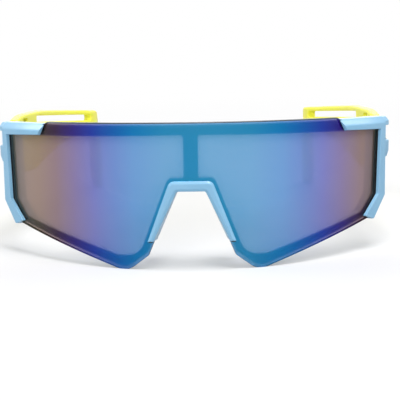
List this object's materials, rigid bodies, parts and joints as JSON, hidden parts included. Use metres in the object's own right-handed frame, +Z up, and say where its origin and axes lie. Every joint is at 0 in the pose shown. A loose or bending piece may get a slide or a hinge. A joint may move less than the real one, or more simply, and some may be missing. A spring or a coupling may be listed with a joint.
{
  "type": "cycling glasses",
  "caption": "Cycling glasses with a wraparound mirrored shield lens in a light-blue frame, a clip-in nose bridge with soft pads, and folding neon-yellow temples with soft ear tips.",
  "frame": {"origin": "on the ground under the middle of the glasses, as they stand with open temples on the two low lens corners and the two ear tips", "axes": "+Z up; the lens faces -Y and the temples run to +Y; +X is the wearer's left"},
  "size_m": [0.1474, 0.1674, 0.052],
  "materials": {
    "frame_blue": "satin light-blue nylon",
    "lens_mirror": "polished polycarbonate with a blue and purple mirror coating",
    "pad_silicone": "soft matte silicone",
    "temple_yellow": "satin neon-yellow nylon",
    "tip_rubber": "matte yellow rubber",
    "screw_steel": "turned steel",
    "hinge_brass": "turned brass",
    "washer_nylon": "natural nylon"
  },
  "bodies": {
    "front": {"front_frame": "frame_blue", "shield_lens": "lens_mirror", "nose_bridge": "frame_blue", "nose_pad_left": "pad_silicone", "nose_pad_right": "pad_silicone", "hinge_screw_left": "screw_steel", "hinge_screw_right": "screw_steel", "hinge_insert_left": "hinge_brass", "hinge_insert_right": "hinge_brass", "hinge_washer_left": "washer_nylon", "hinge_washer_right": "washer_nylon"},
    "left_temple": {"temple_left": "temple_yellow", "ear_tip_left": "tip_rubber", "hinge_bush_left": "hinge_brass"},
    "right_temple": {"temple_right": "temple_yellow", "ear_tip_right": "tip_rubber", "hinge_bush_right": "hinge_brass"}
  },
  "joints": [
    {"name": "left_temple_fold", "type": "hinge", "parent": "front", "child": "left_temple", "pos_m": [0.0704, -0.03909, 0.042], "axis": [0, 0.0825, 0.9966], "range_deg": [0, 84]},
    {"name": "right_temple_fold", "type": "hinge", "parent": "front", "child": "right_temple", "pos_m": [-0.0704, -0.03909, 0.042], "axis": [0, -0.0825, -0.9966], "range_deg": [0, 74]}
  ]
}
